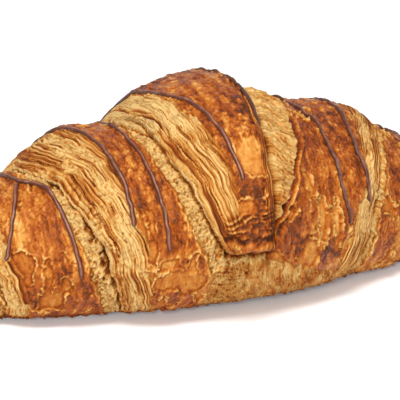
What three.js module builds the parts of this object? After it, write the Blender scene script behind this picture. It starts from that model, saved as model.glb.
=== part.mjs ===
// A curved butter croissant with chocolate drizzled across it, in millimetres.
//
// The dough was one triangle, rolled from its wide end to its point and baked as one piece.
// It lies along X, and its ends bend back towards +Y. The point of the triangle, the tongue,
// is tucked under the front, at -Y. The cut edges of the triangle show as two spirals that
// run from the tongue to the two tips, and each turn stands a little proud of the next.
//
// A place on the dough is given by x and by an angle around the roll: 0 degrees is the
// crest, +90 is the front, -90 is the back and 180 is the underside.

import * as THREE from 'three';

// Driving dimensions.
const LEFT_TIP_X = -81;
const RIGHT_TIP_X = 88;
const TIP_DOME_LENGTH = 5;
const WIDTH_TO_HEIGHT = 1.18;
const AXIS_HEIGHT_RATIO = 0.9;
const UNDERSIDE_ROUNDNESS = 2.4;
const TIP_SETBACK = 12;
const TIP_LIFT = 3;
const TIP_LIFT_START = 60;
const BASE_TRIM = 1;
const TONGUE_ANGLE = 100;
const ROLL_CENTRE_X = 2.5;
const CENTRE_BLEND_START = 150;
const TONGUE_LENGTH = 5;
const DRIZZLE_RADIUS = 0.6;
const DRIZZLE_GAP = 0.4;

// Mesh fineness.
const BODY_RINGS = 52;
const TIP_RINGS = 3;
const RING_POINTS = 36;
const DRIZZLE_SIDES = 7;
const DRIZZLE_STEP_LENGTH = 3.2;

// The roll's mean radius: two tapering shoulders, and a middle turn that swells above them.
const SHOULDER_RADIUS = 26;
const LEFT_TAPER_LENGTH = 87;
const RIGHT_TAPER_LENGTH = 95;
const LEFT_TAPER_POWER = 2.2;
const RIGHT_TAPER_POWER = 2.8;
const MIDDLE_X = 6;
const MIDDLE_SWELL = 6.5;
const MIDDLE_REACH = 20;

// How high the crest rises above the roll's axis, against a circle's: less over the middle.
const SIDE_CREST = 1.06;
const MIDDLE_CREST = 0.865;
const MIDDLE_CREST_REACH = 30;

// How far from x = 0 each cut edge lies, against the degrees unrolled since the tongue.
const LEFT_EDGE = [
  [-180, -2.5], [0, 3], [12, 6.6], [42, 10.8], [94, 15], [127, 17], [190, 21], [280, 25],
  [335, 27.3], [368, 31.8], [401, 36.4], [434, 41.3], [454, 44.3], [550, 50], [700, 55],
  [760, 60], [1000, 72], [1180, 84],
];
const RIGHT_EDGE = [
  [-180, 2.5], [0, 8], [30, 9], [59, 10.4], [92, 14], [190, 22], [280, 31], [334, 38],
  [378, 44.4], [408, 48.8], [458, 56], [640, 64], [740, 69], [1000, 82], [1180, 92],
];

// Width along x of the stepped wall at each cut edge, against the same degrees.
const LEFT_WALL = [
  [-180, 2], [0, 3], [20, 6.8], [60, 10], [100, 7], [190, 7], [336, 7.2], [367, 8.4],
  [401, 11.2], [454, 14], [560, 10], [700, 5.2], [1180, 4],
];
const RIGHT_WALL = [
  [-180, 2], [0, 2.4], [100, 3], [280, 6], [334, 8.5], [354, 8.5], [378, 7.5], [396, 6],
  [408, 6.5], [429, 8], [462, 9], [700, 6], [1180, 4],
];

// Height of that wall, against the same degrees.
const LEFT_STEP = [
  [-180, 0.5], [0, 2.6], [100, 3.4], [280, 2.2], [400, 3.4], [560, 2.6], [760, 1.8], [1180, 1],
];
const RIGHT_STEP = [
  [-180, 0.5], [0, 2.8], [60, 3.6], [110, 3.2], [280, 2], [400, 2.8], [560, 2], [1180, 1],
];

// Drizzle strands, each as places [x, angle] along its length.
const DRIZZLES = {
  drizzle_left_tip: [[-66, -52], [-64.5, -20], [-63.5, 12], [-64.5, 40]],
  drizzle_left_outer: [[-48.6, 16], [-50.3, 30], [-52.8, 48], [-54.8, 65], [-55.5, 72]],
  drizzle_left_inner: [[-51.5, -62], [-49, -20], [-47.5, 9], [-43, 29], [-40.6, 58], [-38.2, 97]],
  drizzle_left_shoulder: [[-41, -58], [-35, -25], [-30.8, -2], [-27.6, 26], [-26.1, 52], [-26, 72]],
  drizzle_left_saddle: [[-27.5, -60], [-21.5, -20], [-20.3, 7], [-19.1, 35], [-18.3, 64], [-18, 90]],
  drizzle_centre: [[-17, -64], [-9.5, -25], [-7, 0], [-3.4, 14], [-0.9, 34], [0.9, 64]],
  drizzle_right_edge: [[5, -60], [9.5, -20], [11.6, 8], [10, 38]],
  drizzle_right_saddle: [[14, -60], [24, -25], [30.5, 5], [32.3, 40], [32.4, 64], [33.4, 88]],
  drizzle_right_shoulder: [[40, -62], [42.4, -19], [42, 9], [40.7, 41], [41.3, 77]],
  drizzle_right_tip: [[52, -48], [56, -8], [60.5, 3], [65.5, -2], [70.5, -30]],
};

// A smooth curve through points [input, value] that never overshoots between them.
function smoothCurve(points) {
  const slopes = points.slice(1).map(([x, y], i) => (y - points[i][1]) / (x - points[i][0]));
  const tangents = points.map((_, i) => {
    const before = slopes[i - 1] ?? slopes[i];
    const after = slopes[i] ?? slopes[i - 1];
    return before * after > 0 ? (2 * before * after) / (before + after) : 0;
  });
  return (input) => {
    const x = THREE.MathUtils.clamp(input, points[0][0], points.at(-1)[0]);
    const k = Math.min(points.findLastIndex(([start]) => start <= x), points.length - 2);
    const span = points[k + 1][0] - points[k][0];
    const t = (x - points[k][0]) / span;
    const rise = t * t * (3 - 2 * t);
    const straight = points[k][1] * (1 - rise) + points[k + 1][1] * rise;
    const easeIn = t * (1 - t) ** 2 * span * tangents[k];
    const easeOut = t * t * (t - 1) * span * tangents[k + 1];
    return straight + easeIn + easeOut;
  };
}

const LEFT = { edge: smoothCurve(LEFT_EDGE), wall: smoothCurve(LEFT_WALL), step: smoothCurve(LEFT_STEP) };
const RIGHT = { edge: smoothCurve(RIGHT_EDGE), wall: smoothCurve(RIGHT_WALL), step: smoothCurve(RIGHT_STEP) };

function smoothStep(low, high, value) {
  return THREE.MathUtils.smoothstep(value, low, high);
}

// Height of a wall at a distance inwards from its foot: steep at the foot, rounded on top.
function wallProfile(inward, width) {
  const t = THREE.MathUtils.clamp(inward / width, 0, 1);
  return Math.sqrt(1 - (1 - t) ** 2);
}

// 1 at the middle turn, easing to 0 away from it.
function middleShare(x, reach, power) {
  return Math.exp(-(Math.abs((x - MIDDLE_X) / reach) ** power));
}

function meanRadius(x) {
  const length = x < 0 ? LEFT_TAPER_LENGTH : RIGHT_TAPER_LENGTH;
  const power = x < 0 ? LEFT_TAPER_POWER : RIGHT_TAPER_POWER;
  const shoulder = SHOULDER_RADIUS * (1 - (Math.abs(x) / length) ** power);
  return shoulder + MIDDLE_SWELL * middleShare(x, MIDDLE_REACH, 2);
}

function crestRise(x) {
  return SIDE_CREST + (MIDDLE_CREST - SIDE_CREST) * middleShare(x, MIDDLE_CREST_REACH, 4);
}

// How far the turns of the dough stand above or below the mean radius at a place.
function turnRelief(x, angle) {
  const side = x < ROLL_CENTRE_X ? LEFT : RIGHT;
  const outward = x < ROLL_CENTRE_X ? -x : x;
  const centre = x < ROLL_CENTRE_X ? -ROLL_CENTRE_X : ROLL_CENTRE_X;
  let unrolled = TONGUE_ANGLE - angle;
  let innerFoot = centre;
  if (unrolled < 0) {
    innerFoot = Math.max(centre, side.edge(unrolled));
    unrolled += 360;
  }
  while (outward > side.edge(unrolled) && unrolled < 1080) {
    innerFoot = side.edge(unrolled);
    unrolled += 360;
  }
  const foot = side.edge(unrolled);
  const wall = Math.min(side.wall(unrolled), 0.7 * (foot - innerFoot));
  const inward = foot - outward;
  const climb = smoothStep(0, foot - innerFoot - wall, outward - innerFoot);
  const onTongueTurn = innerFoot === centre && angle < TONGUE_ANGLE;
  const crown = onTongueTurn ? 1 - smoothStep(CENTRE_BLEND_START, 280, unrolled) : 0;
  const face = crown + (1 - crown) * climb;
  const tongueEnd = onTongueTurn ? wallProfile((TONGUE_ANGLE - angle) * 0.5, TONGUE_LENGTH) : 1;
  return side.step(unrolled) * (face * Math.min(wallProfile(inward, wall), tongueEnd) - 0.5);
}

// A place on the smooth dough, before its base is trimmed flat.
function doughPoint(x, angle) {
  const fromLeft = THREE.MathUtils.clamp((x - LEFT_TIP_X) / TIP_DOME_LENGTH, 0, 1);
  const fromRight = THREE.MathUtils.clamp((RIGHT_TIP_X - x) / TIP_DOME_LENGTH, 0, 1);
  const dome = Math.sqrt(1 - (1 - Math.min(fromLeft, fromRight)) ** 2);
  const radius = (meanRadius(x) + turnRelief(x, angle)) * dome;
  const turn = THREE.MathUtils.degToRad(angle);
  const axisHeight = AXIS_HEIGHT_RATIO * meanRadius(x);
  const belly = Math.abs(Math.sin(turn)) ** UNDERSIDE_ROUNDNESS;
  const below = (1 - belly) ** (1 / UNDERSIDE_ROUNDNESS);
  const above = radius * Math.cos(turn) * crestRise(x);
  const rise = Math.cos(turn) >= 0 ? above : -axisHeight * dome * below;
  const pastStart = Math.max(Math.abs(x) - TIP_LIFT_START, 0) / (RIGHT_TIP_X - TIP_LIFT_START);
  const y = -WIDTH_TO_HEIGHT * radius * Math.sin(turn) + TIP_SETBACK * (x / -LEFT_TIP_X) ** 2;
  return new THREE.Vector3(x, y, axisHeight + rise + TIP_LIFT * pastStart ** 2);
}

// The x of every ring of the dough's mesh: even along the body, crowded on the tip domes.
function ringPlaces() {
  const places = [];
  for (let i = 1; i <= TIP_RINGS; i++) {
    const inset = TIP_DOME_LENGTH * (1 - Math.cos((i * Math.PI) / 2 / (TIP_RINGS + 1)));
    places.push(LEFT_TIP_X + inset, RIGHT_TIP_X - inset);
  }
  const start = LEFT_TIP_X + TIP_DOME_LENGTH;
  const end = RIGHT_TIP_X - TIP_DOME_LENGTH;
  for (let i = 0; i < BODY_RINGS; i++) {
    places.push(start + ((end - start) * i) / (BODY_RINGS - 1));
  }
  return places.sort((a, b) => a - b);
}

const RING_X = ringPlaces();

function angleOf(index) {
  return -180 + (360 * index) / RING_POINTS;
}

// A ring point of the faceted dough, with the base trimmed flat.
function ringPoint(ring, index) {
  const point = doughPoint(RING_X[ring], angleOf(index));
  point.z = Math.max(point.z, BASE_TRIM);
  return point;
}

function doughGeometry() {
  const vertices = [];
  const faces = [];
  const rings = RING_X.length;
  for (let ring = 0; ring < rings; ring++) {
    for (let index = 0; index < RING_POINTS; index++) {
      vertices.push(...ringPoint(ring, index).toArray());
    }
  }
  vertices.push(...doughPoint(LEFT_TIP_X, 0).toArray());
  vertices.push(...doughPoint(RIGHT_TIP_X, 0).toArray());
  const leftPole = rings * RING_POINTS;
  const rightPole = leftPole + 1;
  for (let index = 0; index < RING_POINTS; index++) {
    const next = (index + 1) % RING_POINTS;
    for (let ring = 0; ring < rings - 1; ring++) {
      const here = ring * RING_POINTS;
      const there = here + RING_POINTS;
      faces.push(here + index, here + next, there + next);
      faces.push(here + index, there + next, there + index);
    }
    const lastRing = (rings - 1) * RING_POINTS;
    faces.push(leftPole, next, index);
    faces.push(rightPole, lastRing + index, lastRing + next);
  }
  const geometry = new THREE.BufferGeometry();
  geometry.setAttribute('position', new THREE.Float32BufferAttribute(vertices, 3));
  geometry.setIndex(faces);
  geometry.computeVertexNormals();
  return geometry;
}

// A place on the flat facets of the dough.
function facetPoint(x, angle) {
  const ring = RING_X.findLastIndex((ringX) => ringX <= x);
  const along = (x - RING_X[ring]) / (RING_X[ring + 1] - RING_X[ring]);
  const column = ((angle + 180) / 360) * RING_POINTS;
  const index = Math.floor(column);
  const around = column - index;
  const here = ringPoint(ring, index);
  const across = ringPoint(ring + 1, index + 1);
  const corner = along > around ? ringPoint(ring + 1, index) : ringPoint(ring, index + 1);
  const point = here.multiplyScalar(1 - Math.max(along, around));
  point.addScaledVector(across, Math.min(along, around));
  return point.addScaledVector(corner, Math.abs(along - around));
}

// The direction away from the dough at a place, averaged over a facet's size.
function outwardDirection(x, angle) {
  const alongX = facetPoint(x + 2, angle).sub(facetPoint(x - 2, angle));
  const around = facetPoint(x, angle + 6).sub(facetPoint(x, angle - 6));
  return alongX.cross(around).normalize().negate();
}

// The middle line of a drizzle strand, laid just clear of the facets.
function drizzlePath(places) {
  const route = new THREE.CatmullRomCurve3(places.map(([x, angle]) => new THREE.Vector3(x, angle, 0)));
  const rough = places.map(([x, angle]) => facetPoint(x, angle));
  const length = new THREE.CatmullRomCurve3(rough).getLength();
  const steps = Math.ceil(length / DRIZZLE_STEP_LENGTH);
  const points = [];
  for (let i = 0; i <= steps; i++) {
    const place = route.getPoint(i / steps);
    const lift = outwardDirection(place.x, place.y).multiplyScalar(DRIZZLE_RADIUS + DRIZZLE_GAP);
    points.push(facetPoint(place.x, place.y).add(lift));
  }
  return new THREE.CatmullRomCurve3(points);
}

function drizzleSection() {
  const section = new THREE.Shape();
  for (let i = 0; i < DRIZZLE_SIDES; i++) {
    const turn = (2 * Math.PI * i) / DRIZZLE_SIDES;
    const x = DRIZZLE_RADIUS * Math.cos(turn);
    const y = DRIZZLE_RADIUS * Math.sin(turn);
    if (i === 0) {
      section.moveTo(x, y);
    } else {
      section.lineTo(x, y);
    }
  }
  section.closePath();
  return section;
}

function doughMaterial() {
  return new THREE.MeshStandardMaterial({ color: 0xc37a40, roughness: 0.55, metalness: 0 });
}

function chocolateMaterial() {
  return new THREE.MeshStandardMaterial({ color: 0x5c3020, roughness: 0.35, metalness: 0 });
}

function makeDough() {
  const dough = new THREE.Mesh(doughGeometry(), doughMaterial());
  dough.name = 'dough';
  return dough;
}

function makeDrizzle(name, places) {
  const path = drizzlePath(places);
  const settings = { steps: path.points.length - 1, bevelEnabled: false, extrudePath: path };
  const drizzle = new THREE.Mesh(new THREE.ExtrudeGeometry(drizzleSection(), settings), chocolateMaterial());
  drizzle.name = name;
  return drizzle;
}

const croissant = new THREE.Group();
croissant.name = 'croissant';
croissant.add(makeDough());
for (const [name, places] of Object.entries(DRIZZLES)) {
  croissant.add(makeDrizzle(name, places));
}

// The origin is the middle of the croissant's box, at the height of its flat base.
const box = new THREE.Box3().setFromObject(croissant);
const middle = box.getCenter(new THREE.Vector3());
croissant.position.set(-middle.x, -middle.y, -box.min.z);

export default croissant;
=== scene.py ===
import math
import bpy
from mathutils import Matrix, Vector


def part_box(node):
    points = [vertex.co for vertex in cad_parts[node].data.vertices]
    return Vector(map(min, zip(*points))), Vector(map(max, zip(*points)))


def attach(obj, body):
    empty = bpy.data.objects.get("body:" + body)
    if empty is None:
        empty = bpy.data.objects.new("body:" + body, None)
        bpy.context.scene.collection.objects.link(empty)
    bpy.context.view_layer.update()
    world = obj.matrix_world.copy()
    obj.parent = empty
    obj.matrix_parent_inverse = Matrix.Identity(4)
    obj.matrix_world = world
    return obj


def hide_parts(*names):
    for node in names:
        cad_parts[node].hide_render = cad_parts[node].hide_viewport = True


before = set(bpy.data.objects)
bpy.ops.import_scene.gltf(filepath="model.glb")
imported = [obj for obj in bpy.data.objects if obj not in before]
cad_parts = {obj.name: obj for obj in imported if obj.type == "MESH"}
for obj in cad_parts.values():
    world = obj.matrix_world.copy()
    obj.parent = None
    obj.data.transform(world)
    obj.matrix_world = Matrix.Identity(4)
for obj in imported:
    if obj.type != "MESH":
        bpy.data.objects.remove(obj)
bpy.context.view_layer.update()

from concurrent.futures import ThreadPoolExecutor

import bpy
import numpy as np
from mathutils import Matrix, Vector

# A curved croissant with chocolate drizzle. Shapes are worked out in millimetres, in the
# same terms as the CAD model: x along the roll, and an angle around it that is 0 at the
# crest, +90 at the front (-Y), -90 at the back and 180 underneath.

MM = 0.001

# Driving dimensions, the same as the CAD model's.
LEFT_TIP_X = -81.0
RIGHT_TIP_X = 88.0
TIP_DOME_LENGTH = 5.0
WIDTH_TO_HEIGHT = 1.18
AXIS_HEIGHT_RATIO = 0.9
UNDERSIDE_ROUNDNESS = 2.4
TIP_SETBACK = 12.0
TIP_LIFT = 3.0
TIP_LIFT_START = 60.0
BASE_TRIM = 1.0
TONGUE_ANGLE = 100.0
ROLL_CENTRE_X = 2.5
CENTRE_BLEND_START = 150.0
TONGUE_LENGTH = 5.0

# The roll's mean radius: two tapering shoulders, and a middle turn that swells above them.
SHOULDER_RADIUS = 26.0
LEFT_TAPER_LENGTH = 87.0
RIGHT_TAPER_LENGTH = 95.0
LEFT_TAPER_POWER = 2.2
RIGHT_TAPER_POWER = 2.8
MIDDLE_X = 6.0
MIDDLE_SWELL = 6.5
MIDDLE_REACH = 20.0

# How high the crest rises above the roll's axis, against a circle's: less over the middle.
SIDE_CREST = 1.06
MIDDLE_CREST = 0.865
MIDDLE_CREST_REACH = 30.0

# The cut edges and walls, each against the degrees unrolled since the tongue.
LEFT_EDGE = [
    (-180, -2.5), (0, 3), (12, 6.6), (42, 10.8), (94, 15), (127, 17), (190, 21), (280, 25),
    (335, 27.3), (368, 31.8), (401, 36.4), (434, 41.3), (454, 44.3), (550, 50), (700, 55),
    (760, 60), (1000, 72), (1180, 84),
]
RIGHT_EDGE = [
    (-180, 2.5), (0, 8), (30, 9), (59, 10.4), (92, 14), (190, 22), (280, 31), (334, 38),
    (378, 44.4), (408, 48.8), (458, 56), (640, 64), (740, 69), (1000, 82), (1180, 92),
]
LEFT_WALL = [
    (-180, 2), (0, 3), (20, 6.8), (60, 10), (100, 7), (190, 7), (336, 7.2), (367, 8.4),
    (401, 11.2), (454, 14), (560, 10), (700, 5.2), (1180, 4),
]
RIGHT_WALL = [
    (-180, 2), (0, 2.4), (100, 3), (280, 6), (334, 8.5), (354, 8.5), (378, 7.5), (396, 6), (408, 6.5),
    (429, 8), (462, 9), (700, 6), (1180, 4),
]
LEFT_STEP = [
    (-180, 0.5), (0, 2.6), (100, 3.4), (280, 2.2), (400, 3.4), (560, 2.6), (760, 1.8), (1180, 1),
]
RIGHT_STEP = [
    (-180, 0.5), (0, 2.8), (60, 3.6), (110, 3.2), (280, 2), (400, 2.8), (560, 2), (1180, 1),
]

# Width along x of the pale, unglazed strip that each turn leaves showing beside the wall.
LEFT_PALE = [
    (-180, 0.5), (-40, 0.5), (-16, 2.4), (0, 5), (13, 4.2), (60, 3.6), (125, 5), (280, 5), (336, 4.5),
    (370, 4.7), (386, 4.2), (405, 3.6), (422, 2.4), (444, 2.3), (458, 1.2), (1180, 1.5),
]
RIGHT_PALE = [
    (-180, 0), (0, 0), (9, 0.8), (15, 3), (23, 5), (35, 7.5), (47, 9.5), (60, 11.4), (76, 11.8),
    (100, 13.5), (150, 14), (280, 8), (340, 2.5), (1180, 1.5),
]

DRIZZLES = {
    "drizzle_left_tip": [(-66, -52), (-64.5, -20), (-63.5, 12), (-64.5, 40)],
    "drizzle_left_outer": [(-48, 12.5), (-48.6, 16), (-50.3, 30), (-52.8, 48), (-54.8, 65), (-55.5, 72)],
    "drizzle_left_inner": [(-51.5, -62), (-49, -20), (-47.5, 9), (-43, 29), (-40.6, 58), (-38.2, 97)],
    "drizzle_left_shoulder": [(-41, -58), (-35, -25), (-30.8, -2), (-27.6, 26), (-26.1, 52), (-26, 72)],
    "drizzle_left_saddle": [(-27.5, -60), (-21.5, -20), (-20.3, 7), (-19.1, 35), (-18.3, 64), (-18, 90)],
    "drizzle_centre": [(-17, -64), (-9.5, -25), (-7, 0), (-3.4, 14), (-0.9, 34), (0.9, 64)],
    "drizzle_right_edge": [(5, -60), (9.5, -20), (11.6, 8), (10, 38)],
    "drizzle_right_saddle": [(14, -60), (24, -25), (30.5, 5), (32.3, 40), (32.4, 64), (33.4, 88)],
    "drizzle_right_shoulder": [(40, -62), (42.4, -19), (42, 9), (40.7, 41), (41.3, 77)],
    "drizzle_right_tip": [(52, -48), (56, -8), (60.5, 3), (65.5, -2), (70.5, -30)],
}

# Places where the glazed skin has flaked off: x, angle, half width along x and half length
# along the turn in mm, and how dark the layer below is baked.
PEELS = [
    (-52.6, 82, 3.4, 4.2, 0.54), (-24.6, 76, 1.5, 4.6, 0.38), (-22, 72, 1.0, 3.6, 0.36),
    (-22.3, 88, 1.6, 3.2, 0.42), (-18, 96, 2.8, 1.5, 0.34), (-17.5, 106, 4.6, 3.0, 0.43),
    (-10.8, 112, 3.2, 3.4, 0.40), (-46.2, 94, 1.3, 4.0, 0.42), (5.2, 53, 4.6, 6.0, 0.33),
    (0.4, 77, 2.4, 3.0, 0.42), (6.5, 77, 1.3, 3.0, 0.38), (21.5, 66, 1.3, 4.0, 0.36),
    (24.5, 84, 1.6, 6.0, 0.33), (29.5, 88, 1.2, 6.5, 0.36), (21, 103, 2.6, 4.6, 0.36),
    (33.5, 103, 2.2, 5.0, 0.32), (37.5, 88, 1.1, 4.6, 0.36), (-45, 112, 3.0, 3.0, 0.42),
    (24, -70, 5.0, 8.0, 0.36), (-10, -84, 4.5, 9.0, 0.40), (-33, -75, 3.5, 7.0, 0.34),
    (48, -84, 3.5, 6.0, 0.42), (-60, 95, 2.2, 4.0, 0.40), (55, 95, 2.4, 6.0, 0.42),
]
SCATTERED_PEEL_BAKE = 0.42

# Gentle swellings of the roll: x, angle, half width, half length, height, all in mm but the angle.
SWELLINGS = [
    (-7, -22, 3.0, 12, 1.0), (22, -12, 4.0, 12, 1.2), (-31, -30, 3, 10, 0.9), (9, 60, 7, 12, 0.4),
]

# Patches of the glazed skin baked darker or lighter than the rest: x, angle, half width and
# half length, then the change in bake.
TONES = [
    (9, 22, 6, 6, 0.16), (2, 70, 6, 3.5, 0.22), (-24, 20, 8, 14, 0.05), (-18.5, 62, 2.6, 12, 0.10),
    (33, 22, 12, 14, 0.18), (26, 60, 6, 8, -0.06), (25, 90, 9, 10, -0.04), (27.5, 103, 3.4, 2.2, 0.46),
    (66, 60, 14, 40, 0.12), (-52, 62, 7, 12, -0.10), (-20, 35, 5, 10, 0.06),
    (-43.5, 72, 3, 12, 0.08), (7.6, 70, 1.2, 2.5, 0.25),
    (-45, 100, 6, 8, 0.08), (20, 100, 5, 9, 0.10), (-3, -30, 9, 12, 0.12), (26, -50, 8, 12, 0.10),
    (6, 37, 6, 5, 0.26), (-13.5, 92, 2.6, 9, 0.12), (17, 94, 3, 6, 0.10),
]

# Open hollows in the crumb: the same four measures, then the depth in mm.
HOLLOWS = [
    (-40.8, 27, 1.3, 2.8, 1.6), (-37.7, 46, 1.5, 2.5, 1.8), (-34.9, 65, 1.9, 4.6, 2.6),
    (-31.8, 89, 1.9, 4.6, 2.6), (-30.0, 102, 1.3, 3.2, 1.8), (-28.0, 119, 1.2, 3.0, 1.4),
    (12.6, 82, 0.9, 2.6, 1.4), (-9.5, 41, 0.7, 2.2, 0.9), (-5.4, 96, 1.2, 2.2, 1.1),
    (-37.5, -48, 1.3, 4.0, 1.6), (22, -64, 1.2, 4.5, 1.5), (-14, -62, 1.2, 4.5, 1.3),
]

# Mesh fineness.
RING_COUNT = 940
RING_POINTS = 600
TIP_RINGS = 14
# How far around each place its relief is compared, for the painted shade in hollows and painted light on
# rises: mm along x, and degrees around.
RELIEF_SHADE_REACH_X = 0.56
RELIEF_SHADE_REACH_ANGLE = 1.44


# ---------------------------------------------------------------- curves and noise

def smooth_curve(points):
    """A smooth function through (input, value) points that never overshoots between them."""
    xs, ys = np.array(points, float).T
    slopes = np.diff(ys) / np.diff(xs)
    before = np.concatenate([slopes[:1], slopes])
    after = np.concatenate([slopes, slopes[-1:]])
    agree = before * after > 0
    tangents = np.where(agree, 2 * before * after / np.where(agree, before + after, 1), 0)

    def curve(value):
        value = np.clip(value, xs[0], xs[-1])
        k = np.clip(np.searchsorted(xs, value, side="right") - 1, 0, len(xs) - 2)
        span = xs[k + 1] - xs[k]
        t = (value - xs[k]) / span
        rise = t * t * (3 - 2 * t)
        ease_in = t * (1 - t) ** 2 * span * tangents[k]
        ease_out = t * t * (t - 1) * span * tangents[k + 1]
        return ys[k] * (1 - rise) + ys[k + 1] * rise + ease_in + ease_out

    return curve


def step_between(low, high, value):
    t = np.clip((value - low) / np.where(high == low, 1e-9, high - low), 0, 1)
    return t * t * (3 - 2 * t)


def mix(a, b, t):
    return a + (b - a) * t


RANDOM = np.random.RandomState(11)
SHUFFLE = np.tile(RANDOM.permutation(256), 3).astype(np.int32)
GRADIENTS = RANDOM.normal(size=(256, 3))
GRADIENTS /= np.linalg.norm(GRADIENTS, axis=1, keepdims=True)


def noise_part(places):
    cell = np.floor(places).astype(np.int32)
    part = places - cell
    cell &= 255
    fade = part ** 3 * (part * (part * 6 - 15) + 10)
    total = np.zeros(len(places))
    for i in (0, 1):
        first = SHUFFLE[cell[:, 0] + i]
        share_x = fade[:, 0] if i else 1 - fade[:, 0]
        for j in (0, 1):
            second = SHUFFLE[first + cell[:, 1] + j]
            share_xy = share_x * (fade[:, 1] if j else 1 - fade[:, 1])
            for k in (0, 1):
                slope = GRADIENTS[SHUFFLE[second + cell[:, 2] + k]]
                reach = slope[:, 0] * (part[:, 0] - i) + slope[:, 1] * (part[:, 1] - j)
                reach += slope[:, 2] * (part[:, 2] - k)
                total += share_xy * (fade[:, 2] if k else 1 - fade[:, 2]) * reach
    return total * 1.7


def noise(places):
    """Gradient noise, about -1 to 1, at places (..., 3)."""
    parts = np.array_split(places.reshape(-1, 3), 8)
    with ThreadPoolExecutor(4) as pool:
        return np.concatenate(list(pool.map(noise_part, parts))).reshape(places.shape[:-1])


def layers_of_noise(places, octaves, seed=0.0, rough=0.5):
    total = np.zeros(places.shape[:-1])
    size, share = 1.0, 1.0
    for octave in range(octaves):
        total += share * noise(places * size + seed + 17.3 * octave)
        size *= 2.03
        share *= rough
    return total


# ---------------------------------------------------------------- the dough's shape

CURVES = {
    name: (smooth_curve(left), smooth_curve(right))
    for name, left, right in (
        ("edge", LEFT_EDGE, RIGHT_EDGE), ("wall", LEFT_WALL, RIGHT_WALL),
        ("step", LEFT_STEP, RIGHT_STEP), ("pale", LEFT_PALE, RIGHT_PALE),
    )
}


def middle_share(x, reach, power):
    """1 at the middle turn, easing to 0 away from it."""
    return np.exp(-np.abs((x - MIDDLE_X) / reach) ** power)


def mean_radius(x):
    length = np.where(x < 0, LEFT_TAPER_LENGTH, RIGHT_TAPER_LENGTH)
    power = np.where(x < 0, LEFT_TAPER_POWER, RIGHT_TAPER_POWER)
    shoulder = SHOULDER_RADIUS * (1 - (np.abs(x) / length) ** power)
    return shoulder + MIDDLE_SWELL * middle_share(x, MIDDLE_REACH, 2)


def crest_rise(x):
    return SIDE_CREST + (MIDDLE_CREST - SIDE_CREST) * middle_share(x, MIDDLE_CREST_REACH, 4)


def on_side(name, left, unrolled):
    return np.where(left, CURVES[name][0](unrolled), CURVES[name][1](unrolled))


def edge_distance(left, unrolled):
    """How far from x = 0 a cut edge lies, with the small waver of a real one."""
    turn = np.radians(unrolled)
    waver = 0.35 * np.sin(6.3 * turn + 1) + 0.22 * np.sin(14.1 * turn) + 0.13 * np.sin(29.7 * turn + 2)
    calm = step_between(0, 30, np.abs(unrolled)) * step_between(1080, 1000, unrolled)
    return on_side("edge", left, unrolled) + waver * calm


def wall_profile(inward, width):
    t = np.clip(inward / width, 0, 1)
    return np.sqrt(1 - (1 - t) ** 2)


def turns(x, angle):
    """Where each place lies among the turns of the dough, as a dict of arrays."""
    left = x < ROLL_CENTRE_X
    outward = np.where(left, -x, x)
    centre = np.where(left, -ROLL_CENTRE_X, ROLL_CENTRE_X)
    unrolled = TONGUE_ANGLE - angle
    tucked = unrolled < 0
    inner_foot = np.where(tucked, np.maximum(centre, edge_distance(left, unrolled)), centre)
    inner_unrolled = unrolled.copy()
    turn = tucked.astype(int)
    unrolled = np.where(tucked, unrolled + 360, unrolled)
    for _ in range(3):
        foot = edge_distance(left, unrolled)
        beyond = (outward > foot) & (unrolled < 1080)
        inner_foot = np.where(beyond, foot, inner_foot)
        inner_unrolled = np.where(beyond, unrolled, inner_unrolled)
        unrolled = np.where(beyond, unrolled + 360, unrolled)
        turn += beyond
    foot = edge_distance(left, unrolled)
    wall = np.maximum(np.minimum(on_side("wall", left, unrolled), 0.7 * (foot - inner_foot)), 0.5)
    return {
        "left": left, "unrolled": unrolled, "turn": turn, "wall": wall,
        "inward": foot - outward, "outward": outward - inner_foot,
        "width": foot - inner_foot, "tongue": turn == 0, "first_right": ~left & (turn == 1),
        "step": on_side("step", left, unrolled), "pale": on_side("pale", left, inner_unrolled),
        "beside": inner_unrolled,
    }


def turn_relief(angle, t):
    climb = step_between(0, t["width"] - t["wall"], t["outward"])
    crown = np.where(t["tongue"], 1 - step_between(CENTRE_BLEND_START, 280, t["unrolled"]), 0)
    face = crown + (1 - crown) * climb
    end = wall_profile((TONGUE_ANGLE - angle) * 0.5, TONGUE_LENGTH)
    tongue_end = np.where(t["tongue"], end, 1)
    return t["step"] * (face * np.minimum(wall_profile(t["inward"], t["wall"]), tongue_end) - 0.5)


def section_place(x, angle, relief):
    from_left = np.clip((x - LEFT_TIP_X) / TIP_DOME_LENGTH, 0, 1)
    from_right = np.clip((RIGHT_TIP_X - x) / TIP_DOME_LENGTH, 0, 1)
    dome = np.sqrt(1 - (1 - np.minimum(from_left, from_right)) ** 2)
    radius = (mean_radius(x) + relief) * dome
    turn = np.radians(angle)
    axis_height = AXIS_HEIGHT_RATIO * mean_radius(x)
    belly = np.abs(np.sin(turn)) ** UNDERSIDE_ROUNDNESS
    below = np.clip(1 - belly, 0, 1) ** (1 / UNDERSIDE_ROUNDNESS)
    above = radius * np.cos(turn) * crest_rise(x)
    rise = np.where(np.cos(turn) >= 0, above, -axis_height * dome * below)
    past_start = np.maximum(np.abs(x) - TIP_LIFT_START, 0) / (RIGHT_TIP_X - TIP_LIFT_START)
    y = -WIDTH_TO_HEIGHT * radius * np.sin(turn) + TIP_SETBACK * (x / LEFT_TIP_X) ** 2
    return np.stack([x + 0 * y, y, axis_height + rise + TIP_LIFT * past_start ** 2], -1)


def outward_normals(places):
    """Unit normals of a grid of places (rings, points, 3) that closes on itself along axis 1."""
    along = np.gradient(places, axis=0)
    around = np.roll(places, -1, axis=1) - np.roll(places, 1, axis=1)
    normal = np.cross(around, along)
    return normal / np.maximum(np.linalg.norm(normal, axis=-1, keepdims=True), 1e-9)


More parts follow.
